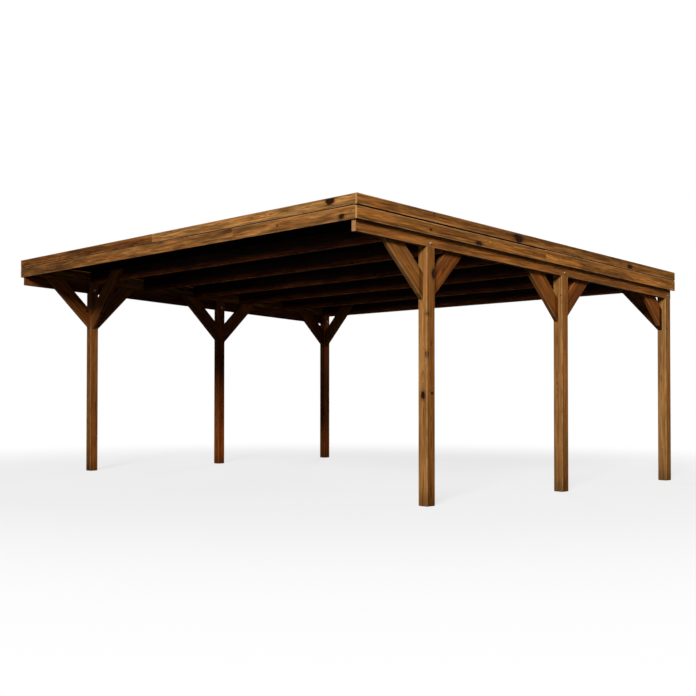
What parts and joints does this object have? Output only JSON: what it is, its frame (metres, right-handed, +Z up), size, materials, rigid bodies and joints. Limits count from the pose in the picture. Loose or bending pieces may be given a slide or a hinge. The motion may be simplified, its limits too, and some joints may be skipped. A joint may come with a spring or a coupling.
{
  "type": "timber carport",
  "caption": "Open timber carport with square posts, knee braces, side beams, rafters, stacked fascia boards and a low-pitched ribbed metal roof, to park vehicles under.",
  "frame": {"origin": "ground level under the middle of the roof's outline", "axes": "+X to the right across the parking bay, +Y from the open front to the back, +Z up"},
  "size_m": [5.664, 4.772, 2.4843],
  "materials": {
    "post_timber": "brown pressure-treated and stained pine, satin, knots showing",
    "beam_timber": "brown pressure-treated and stained pine, satin, knots showing",
    "brace_timber": "brown pressure-treated and stained pine, satin, knots showing",
    "rafter_timber": "brown pressure-treated and stained pine, satin, knots showing",
    "fascia_timber": "brown pressure-treated and stained pine, satin, knots showing",
    "roof_sheet": "dark grey coated steel, satin",
    "fixings": "bright zinc plated"
  },
  "bodies": {
    "root": {"beam_left": "beam_timber", "beam_right": "beam_timber", "brace_back_left_cross": "brace_timber", "brace_back_left_forward": "brace_timber", "brace_back_right_cross": "brace_timber", "brace_back_right_forward": "brace_timber", "brace_front_left_backward": "brace_timber", "brace_front_left_cross": "brace_timber", "brace_front_left_forward": "brace_timber", "brace_front_right_backward": "brace_timber", "brace_front_right_forward": "brace_timber", "brace_middle_left_backward": "brace_timber", "brace_middle_left_forward": "brace_timber", "brace_middle_right_backward": "brace_timber", "brace_middle_right_forward": "brace_timber", "fascia_back_lower": "fascia_timber", "fascia_back_upper": "fascia_timber", "fascia_front_lower_left": "fascia_timber", "fascia_front_lower_right": "fascia_timber", "fascia_front_upper_left": "fascia_timber", "fascia_front_upper_right": "fascia_timber", "fascia_left_lower": "fascia_timber", "fascia_left_upper": "fascia_timber", "fascia_right_lower_back": "fascia_timber", "fascia_right_lower_front": "fascia_timber", "fascia_right_upper": "fascia_timber", "post_back_left": "post_timber", "post_back_right": "post_timber", "post_front_left": "post_timber", "post_front_right": "post_timber", "post_middle_left": "post_timber", "post_middle_right": "post_timber", "rafter_1": "rafter_timber", "rafter_2": "rafter_timber", "rafter_3": "rafter_timber", "rafter_4": "rafter_timber", "rafter_5": "rafter_timber", "rafter_6": "rafter_timber", "rafter_7": "rafter_timber", "roof_sheet_1": "roof_sheet", "roof_sheet_2": "roof_sheet", "roof_sheet_3": "roof_sheet", "roof_sheet_4": "roof_sheet", "roof_sheet_5": "roof_sheet"}
  },
  "joints": []
}
